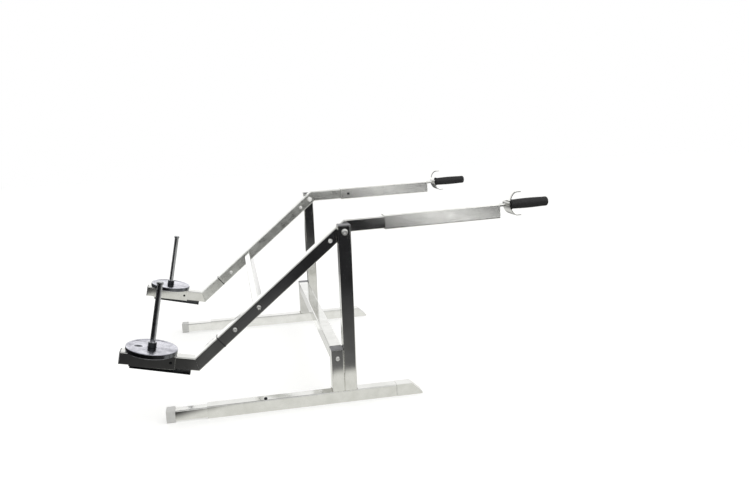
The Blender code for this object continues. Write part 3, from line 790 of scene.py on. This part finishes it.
# handles: sleeve, bow guard and grip
lidDepth = 0.0035
guard = {
    "reach": 0.029, "rise": 0.016, "above": 0.044, "below": 0.033, "depth": 0.026, "horn": 0.012,
    "thickness": 0.0035, "edge": 0.0012, "steps": 72,
    "width": 0.060, "slim": 0.009, "narrowFrom": 0.006, "narrowTo": 0.021,
    "rod": 0.005, "rodEdge": 0.0005, "rodInGrip": 0.02, "rodSides": 32,
}
grip = {
    "start": 0.0125, "radius": 0.0150, "length": 0.1277, "endRound": 0.006, "sides": 48,
    "collar": 0.0172, "collarLength": 0.005, "collarRound": 0.0015, "mouth": 0.001,
    "swell": 0.0012, "ribs": 21, "ribSteps": 6, "ribDepth": 0.0006, "ribsAfter": 0.006, "ribsBefore": 0.016,
    "sharpAngle": 50,
}


def guardWidth(height):
    # full width up to just above the rod, then narrowing on the inner side to a slim horn
    share = (height - guard["narrowFrom"]) / (guard["narrowTo"] - guard["narrowFrom"])
    ease = 0.5 + 0.5 * cos(pi * min(1.0, max(0.0, share)))
    return guard["slim"] + (guard["width"] - guard["slim"]) * ease


def makeGuard(side, body, matrix):
    centreZ = (guard["above"] - guard["below"]) / 2
    high = (guard["above"] + guard["below"]) / 2
    depth, width, edge = guard["depth"], guard["width"], guard["edge"]
    hornEnd = -depth - guard["horn"]
    outline = []
    for inset in (0, guard["thickness"]):
        deep, tall = depth - inset, high - inset
        run = [(hornEnd, centreZ + tall, guard["slim"])]
        for step in range(guard["steps"] + 1):
            angle = pi / 2 - pi * step / guard["steps"]
            wide = guardWidth(centreZ + high * sin(angle))
            run.append((deep * cos(angle) - depth, centreZ + tall * sin(angle), wide))
        run.append((hornEnd, centreZ - tall, width))
        outline += run if not inset else run[::-1]
    inward = 1 if side == "left" else -1
    rings = []
    count = len(outline)
    for share, inset, shrink in ((0, 0, edge), (0, edge, 0), (1, -edge, 0), (1, 0, edge)):
        ring = []
        for i, (y, z, wide) in enumerate(outline):
            way = (Vector(outline[(i + 1) % count][:2]) - Vector(outline[i - 1][:2])).normalized()
            x = inward * (wide * share + inset - width / 2)
            ring.append((x, y + shrink * way.y, z - shrink * way.x))
        rings.append(ring)
    mesh = skin(rings)
    verts = mesh.verts[:]
    for ring in (verts[:count], verts[-count:]):
        for i in range(count // 2 - 1):
            mesh.faces.new((ring[i], ring[i + 1], ring[-2 - i], ring[-1 - i]))
    addPiece(f"hand_guard_{side}_bow", mesh, polishedTube, body, [f"hand_guard_{side}"],
             matrix)

    rod, rodEdge = guard["rod"], guard["rodEdge"]
    rodEnd = -grip["start"] - guard["rodInGrip"]
    length = guard["reach"] - seatGap - rodEnd
    mesh = turned([(0, 0), (rod - rodEdge, 0), (rod, rodEdge), (rod, length), (0, length)], guard["rodSides"])
    addPiece(f"hand_guard_{side}_rod", mesh, polishedTube, body, (),
             matrix @ Matrix.Translation((0, rodEnd, 0)) @ Matrix.Rotation(-pi / 2, 4, "X"))


def makeGrip(side, body, matrix):
    radius, length, endRound = grip["radius"], grip["length"], grip["endRound"]
    collar, collarLength, collarRound = grip["collar"], grip["collarLength"], grip["collarRound"]
    bore = guard["rod"] + seatGap
    profile = [(bore, grip["mouth"]), (bore, 0)]
    profile += arc((collar - collarRound, collarRound), collarRound, -90, 0)
    profile += arc((collar - collarRound, collarLength - collarRound), collarRound, 0, 90)
    profile += [(radius, collarLength)]
    ribStart = collarLength + grip["ribsAfter"]
    ribEnd = length - grip["ribsBefore"]
    count = grip["ribs"] * grip["ribSteps"]
    for i in range(count + 1):
        share = i / count
        swell = grip["swell"] * sin(pi * share)
        groove = grip["ribDepth"] * (0.5 - 0.5 * cos(2 * pi * share * grip["ribs"])) ** 3
        profile.append((radius + swell - groove, ribStart + (ribEnd - ribStart) * share))
    profile += arc((radius - endRound, length - endRound), endRound, 0, 90, 8)
    profile += [(0, length)]
    place = matrix @ Matrix.Translation((0, -grip["start"], 0)) @ Matrix.Rotation(pi / 2, 4, "X")
    addPiece(f"grip_{side}_sleeve", turned(profile, grip["sides"]), gripRubber, body,
             [f"grip_{side}"], place, grip["sharpAngle"])


def makeHandle(side):
    body = f"handle_{side}"
    node = f"handle_sleeve_{side}"
    sleeveTubeOf(node, rearWay, body, brushedSleeve)
    low, _, centre = spanOf(node)
    up = upright(rearWay)
    end = centre + rearWay * ((centre.y - low.y - sleeveTube / 2 * abs(rearWay.z)) / abs(rearWay.y))
    addPiece(f"handle_lid_{side}", capMesh(sleeveTube - 2 * tubeLook["mainWall"]), brushedSleeve, body,
             (), standing(end - rearWay * lidDepth, rearWay))
    # local Y runs back towards the sleeve, as local Z runs up
    matrix = axesAt(end + rearWay * guard["reach"] + up * guard["rise"], xAxis, -rearWay, up)
    makeGuard(side, body, matrix)
    makeGrip(side, body, matrix)


# bolts: radius of the shank, radius of the head, height of the head
mainBolt = (0.004, 0.0064, 0.0045)
pivotBolt = (0.006, 0.0093, 0.0065)
lockScrew = (0.003, 0.0052, 0.0032)
boltHead = {
    "sides": 48, "turns": 3, "pitch": 0.00125, "thread": 0.0006,
    "foot": 0.0003, "edge": 0.0004, "shoulder": 0.35, "crown": 0.38,
    "socket": 0.40, "socketLip": 0.0006, "socketEdge": 0.0003, "socketFloor": 0.25,
}
setScrew = {"tip": 0.88, "edge": 0.0005,
            "socket": 0.57, "socketEdge": 0.0003, "socketDepth": 0.0015, "cone": 0.0002}
# domed nuts: radius over the corners, height of the hexagon, radius of the dome
smallNut = (0.0066, 0.0036, 0.0058)
pivotNut = (0.0104, 0.0085, 0.0086)
nutEdge, nutSeat = 0.0004, 0.0002


def boltMesh(radius, headRadius, headHeight, length):
    # button head with a hexagon socket, and rolled thread at the tip
    thread, pitch, shoulder = boltHead["thread"], boltHead["pitch"], boltHead["shoulder"]
    z = thread - length
    profile = [(0, -length), (radius - thread, -length), (radius, z)]
    for _ in range(boltHead["turns"]):
        profile += [(radius, z), (radius - thread, z + pitch * 0.5), (radius, z + pitch)]
        z += pitch
    profile += [(radius, 0), (headRadius - boltHead["foot"], 0), (headRadius, boltHead["edge"]),
                (headRadius, headHeight * shoulder)]
    crown = boltHead["crown"]
    for angle in (20, 40, 60, 80):
        reach = headRadius * (1 - crown + crown * cos(radians(angle)))
        profile.append((reach, headHeight * (shoulder + (1 - shoulder) * sin(radians(angle)))))
    socket = headRadius * boltHead["socket"]
    profile += [(socket + boltHead["socketLip"], headHeight),
                (socket, headHeight - boltHead["socketEdge"], "hex"),
                (socket, headHeight * shoulder, "hex"), (0, headHeight * boltHead["socketFloor"])]
    return turned(profile, boltHead["sides"])


def sideBolt(node, body, side, sizes, material=zincBolt, inward=False):
    # a bolt along X with its head outward, or inward: its faces are read from the node's box
    low, high, centre = spanOf(node)
    outward = (-1 if side == "left" else 1) * (-1 if inward else 1)
    face = (high.x if outward > 0 else low.x) - outward * sizes[2]
    tip = low.x if outward > 0 else high.x
    addPiece(node + "_turned", boltMesh(*sizes, abs(face - tip)), material, body, [node],
             acrossAt(face, centre, outward))


def makeSetScrew(node, body):
    # headless, with a hexagon socket in its face, which looks to the left
    low, high, centre = spanOf(node)
    radius, length = (high.z - low.z) / 2, high.x - low.x
    edge, socketEdge, depth = setScrew["edge"], setScrew["socketEdge"], setScrew["socketDepth"]
    socket = radius * setScrew["socket"]
    profile = [(0, -length), (radius * setScrew["tip"], -length), (radius, -length + edge), (radius, -edge),
               (radius - edge, 0), (socket + socketEdge, 0), (socket, -socketEdge, "hex"),
               (socket, -depth, "hex"), (0, -depth - setScrew["cone"])]
    addPiece(node + "_turned", turned(profile, boltHead["sides"]), blackOxide, body, [node],
             acrossAt(low.x, centre, -1))


def makeCapNut(name, place, sizes, body, replaced=()):
    corners, high, dome = sizes
    profile = [(0, 0), (corners - nutEdge, 0, "hex"), (corners, nutEdge, "hex"),
               (corners, high - nutEdge, "hex"), (corners - nutEdge, high, "hex"), (dome, high)]
    profile += arc((0, high), dome, 6, 84, 8)
    profile += [(0, high + dome)]
    addPiece(name, turned(profile, boltHead["sides"]), flakeZinc, body, replaced, place)


def makeCapNuts(side):
    # on the inner ends of the bolts through the arm, and on the pivot's own
    inward = 1 if side == "left" else -1
    face = middle("handle_sleeve_" + side).x + inward * (mainTube / 2 + nutSeat)
    for bolt in (f"arm_bolt_{side}", f"lock_bolt_{side}"):
        makeCapNut(bolt + "_cap_nut", acrossAt(face, middle(bolt), inward), smallNut, "lever")
    node = f"pivot_nut_{side}"
    low, high, centre = spanOf(node)
    place = acrossAt(low.x if inward > 0 else high.x, centre, inward)
    makeCapNut(node + "_domed", place, pivotNut, "frame", [node])


def makeBolts(side):
    sideBolt(f"pivot_bolt_{side}", "frame", side, pivotBolt)
    sideBolt(f"cross_bolt_{side}", "frame", side, mainBolt)
    for name, finish in (("arm_bolt", flakeZinc), ("tie_bolt", zincBolt), ("lock_bolt", zincBolt)):
        sideBolt(f"{name}_{side}", "lever", side, mainBolt, finish)
    makeCapNuts(side)
    sideBolt(f"handle_screw_{side}", f"handle_{side}", side, lockScrew, blackOxide, True)
    node = f"rail_lock_screw_{side}"
    low, high, centre = spanOf(node)
    place = Vector((centre.x, centre.y, high.z - lockScrew[2]))
    addPiece(node + "_turned", boltMesh(*lockScrew, place.z - low.z), blackOxide, "frame",
             [node], standing(place, zAxis))


def dressHiddenNodes():
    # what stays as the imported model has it: the pieces inside the tubes
    for side in ("left", "right"):
        for node, material in (("arm_spigot", polishedTube), ("pivot_bush", bushBronze)):
            data = frame["nodes"][f"{node}_{side}"].data
            data.materials.clear()
            data.materials.append(material)


makeFrame()
for side in ("left", "right"):
    makeArm(side)
    makeCarriage(side)
    makeHandle(side)
    makeBolts(side)
straightTube("tie_bar_tube", "tie_bar", xAxis, tieBar["size"], tieBar["wall"], "lever", side=slopeWay)
dressHiddenNodes()
print("lever, carriages and handles made")


# the studio: white floor and backdrop, even soft light, and painted reflections that only the metal sees: a
# dark room low down behind the camera
studio = {
    "floorSize": 16.0, "floorDrop": 0.0004, "floorColour": "#e9e9e7", "floorGlow": 0.36,
    # painted reflection, seen only by glossy rays: what metal sees of the floor, by its place along X: a
    # white sheet under the object, that ends in front of it, and beyond the sheet's edge, which slants away
    # from the weights, a painted dark floor
    "paintedDarkFloorReflection": ((-2.0, "#2c2c2e"), (-0.83, "#666666")),
    "paintedSheetReflection": ((-0.70, "#d8d8d4"), (-0.46, "#d8d8d4"), (0.28, "#c8c8c6"), (0.32, "#e8e8e6"),
                   (0.43, "#e8e8e6"), (0.55, "#c8c8c6"), (0.9, "#c8c8c6"), (1.3, "#808080"),
                   (1.9, "#5a5a5a"), (2.6, "#5a5a5a"), (3.4, "#e0e0e0")),
    "paintedSheetGain": 1.4, "paintedSheetEdge": (-0.775, -0.695), "slant": 0.45,
    # how much of the painted sheet reflection is left along Y, beside the object; far behind it the
    # backdrop's foot is white
    "paintedSheetAlong": ((-1.0, "#000000"), (-0.8, "#bcbcbc"), (-0.45, "#ffffff"), (0.75, "#ffffff"),
                   (0.9, "#bcbcbc"), (1.1, "#000000")),
    "paintedFarSheet": (3.0, 3.6),
    # the painted dark reflection's brightness, by place along Y
    "paintedDarkAlong": ((-1.0, "#a0a0a0"), (-0.45, "#c8c8c8"), (-0.1, "#c8c8c8"), (0.08, "#ffffff"),
                  (0.2, "#f0f0f0"), (0.4, "#c8c8c8"), (0.46, "#c8c8c8"), (0.52, "#909090")),
    "paintedDarkGain": 1.7,
    # and a painted reflection of a white wall beside it shows in the handles: its share, by place along Y and
    # X
    "paintedWallReflection": ((-1.9, "#000000"), (-1.76, "#484848"), (-1.6, "#d8d8d8"), (-1.48, "#ffffff"),
                 (-1.34, "#ffffff"), (-1.2, "#a0a0a0"), (-1.06, "#000000")),
    "paintedWallStart": (-3.0, -2.6), "paintedWallBright": 2.8,
    # painted reflection: how bright metal sees the walls and the ceiling by direction, from behind the camera
    # to behind the object
    "walls": ((-0.9, "#ffffff"), (-0.4, "#bcbcbc"), (0.4, "#bcbcbc"), (0.8, "#ffffff")),
    "backdrop": (-0.25, 0.25), "ceiling": (0.0, 0.16), "lowBand": (0.12, 0.22), "highBand": (0.5, 0.8),
    "paintedWallGain": 1.22, "skyLight": 0.80, "overhead": 0.75, "horizon": 1.18,
}


def rampOf(tree, value, stops):
    # colours by place: a ramp from the first place to the last
    first, last = stops[0][0], stops[-1][0]
    share = addNode(tree, "MapRange", {"Value": value, **between((first, last))})
    ramp = addNode(tree, "ValToRGB", {"Fac": share})
    marks = ramp.color_ramp.elements
    while len(marks) < len(stops):
        marks.new(0.5)
    for mark, (place, colour) in zip(marks, stops):
        mark.position = (place - first) / (last - first)
        mark.color = toLinear(colour)
    return ramp.outputs["Color"]


def makeFloor():
    mesh = bmesh.new()
    half, drop = studio["floorSize"] / 2, studio["floorDrop"]
    corners = ((-half, -half), (half, -half), (half, half), (-half, half))
    mesh.faces.new([mesh.verts.new((x, y, -drop)) for x, y in corners])
    floor = newObject("studio_floor", meshData("studio_floor", mesh))
    material, tree, shader = newMaterial("cove_matt_with_painted_reflections")
    tree.nodes.remove(shader)
    output = tree.nodes["Material Output"]
    diffuse = addNode(tree, "BsdfDiffuse", {"Color": toLinear(studio["floorColour"])})
    rays = addNode(tree, "LightPath")
    split = addNode(tree, "SeparateXYZ", {0: addNode(tree, "NewGeometry").outputs["Position"]})
    across, along = split.outputs["X"], split.outputs["Y"]
    front = addNode(tree, "Math", {0: along, 1: 0.0}, operation="MAXIMUM")
    slanted = addNode(tree, "Math", {0: front, 1: -studio["slant"], 2: across}, operation="MULTIPLY_ADD")
    fade = addNode(tree, "Math", {0: rampOf(tree, along, studio["paintedDarkAlong"]), 1: studio["paintedDarkGain"]},
                   operation="MULTIPLY")
    dark = addNode(tree, "Emission", {"Color": rampOf(tree, slanted, studio["paintedDarkFloorReflection"]), "Strength": fade})
    wall = addNode(tree, "Emission", {"Strength": studio["paintedWallBright"]})
    beyond = addNode(tree, "MapRange", {"Value": across, **between(studio["paintedWallStart"], 1.0, 0.0)})
    paintedWallShare = addNode(tree, "Math", {0: rampOf(tree, along, studio["paintedWallReflection"]), 1: beyond},
                        operation="MULTIPLY")
    room = addNode(tree, "MixShader", {0: paintedWallShare, 1: dark, 2: wall})
    paintedSheet = addNode(tree, "Emission", {"Color": rampOf(tree, across, studio["paintedSheetReflection"]),
                                       "Strength": studio["paintedSheetGain"]})
    edge = addNode(tree, "MapRange", {"Value": slanted, **between(studio["paintedSheetEdge"])},
                   interpolation_type="SMOOTHSTEP")
    far = addNode(tree, "MapRange", {"Value": across, **between(studio["paintedFarSheet"])})
    wide = addNode(tree, "Math", {0: rampOf(tree, along, studio["paintedSheetAlong"]), 1: far}, operation="MAXIMUM")
    paintedSheetShare = addNode(tree, "Math", {0: edge, 1: wide}, operation="MULTIPLY")
    glossy = addNode(tree, "MixShader", {0: paintedSheetShare, 1: room, 2: paintedSheet})
    glow = addNode(tree, "Emission", {"Strength": studio["floorGlow"]})
    bright = addNode(tree, "AddShader", {0: diffuse, 1: glow})
    forCamera = addNode(tree, "MixShader", {0: rays.outputs["Is Camera Ray"], 1: diffuse, 2: bright})
    # painted reflection: glossy rays see the glowing bands, the camera sees the plain lit floor
    forAll = addNode(tree, "MixShader", {0: rays.outputs["Is Glossy Ray"], 1: forCamera, 2: glossy})
    tree.links.new(forAll.outputs[0], output.inputs["Surface"])
    floor.data.materials.append(material)


def makeWorld():
    world = bpy.data.worlds.new("white_studio")
    scene.world = world
    world.use_nodes = True
    tree = world.node_tree
    tree.nodes.clear()
    rays = addNode(tree, "LightPath")
    way = addNode(tree, "SeparateXYZ", {0: addNode(tree, "TexCoord").outputs["Generated"]})
    ahead, above = way.outputs["X"], way.outputs["Z"]
    # painted reflection, seen only by glossy rays: metal sees a white backdrop, grey walls at its sides, and
    # in front a dark room under a bright ceiling; all else is lit by an even sky
    backdrop = addNode(tree, "MapRange", {"Value": ahead, **between(studio["backdrop"])},
                       interpolation_type="SMOOTHSTEP")
    ceiling = addNode(tree, "MapRange", {"Value": above, **between(studio["ceiling"])},
                      interpolation_type="SMOOTHSTEP")
    low = addNode(tree, "MapRange", {"Value": above, **between(studio["lowBand"], studio["horizon"], 1.0)})
    high = addNode(tree, "MapRange", {"Value": above, **between(studio["highBand"], 1.0, studio["overhead"])})
    behind = addNode(tree, "Math", {0: backdrop, 1: low}, operation="MULTIPLY")
    room = addNode(tree, "Math", {0: behind, 1: ceiling}, operation="MAXIMUM")
    walls = addNode(tree, "Math", {0: rampOf(tree, ahead, studio["walls"]), 1: studio["paintedWallGain"]},
                    operation="MULTIPLY")
    dimmed = addNode(tree, "Math", {0: room, 1: high}, operation="MULTIPLY")
    strength = addNode(tree, "Math", {0: dimmed, 1: walls}, operation="MULTIPLY")
    white = (1, 1, 1, 1)
    glossy = addNode(tree, "Background", {"Color": white, "Strength": strength})
    light = addNode(tree, "Background", {"Color": white, "Strength": studio["skyLight"]})
    seen = addNode(tree, "Background", {"Color": white, "Strength": 1.0})
    # glossy rays see the painted reflection, all other rays the even sky
    lit = addNode(tree, "MixShader", {0: rays.outputs["Is Glossy Ray"], 1: light, 2: glossy})
    forAll = addNode(tree, "MixShader", {0: rays.outputs["Is Camera Ray"], 1: lit, 2: seen})
    output = addNode(tree, "OutputWorld")
    tree.links.new(forAll.outputs[0], output.inputs["Surface"])


lampAim = (0, 0.1, 0.3)
lamps = {
    "key": {"place": (-1.0, -1.4, 2.6), "size": 2.4, "power": 16},
    "fill": {"place": (1.4, 1.6, 2.4), "size": 2.0, "power": 8},
}


def makeLamps():
    for name, look in lamps.items():
        data = bpy.data.lights.new(name, "AREA")
        data.size = look["size"]
        data.energy = look["power"]
        lamp = newObject(name, data)
        lamp.location = look["place"]
        way = Vector(lampAim) - Vector(look["place"])
        lamp.rotation_euler = way.to_track_quat("-Z", "Y").to_euler()


makeFloor()
makeWorld()
makeLamps()
print("studio made")
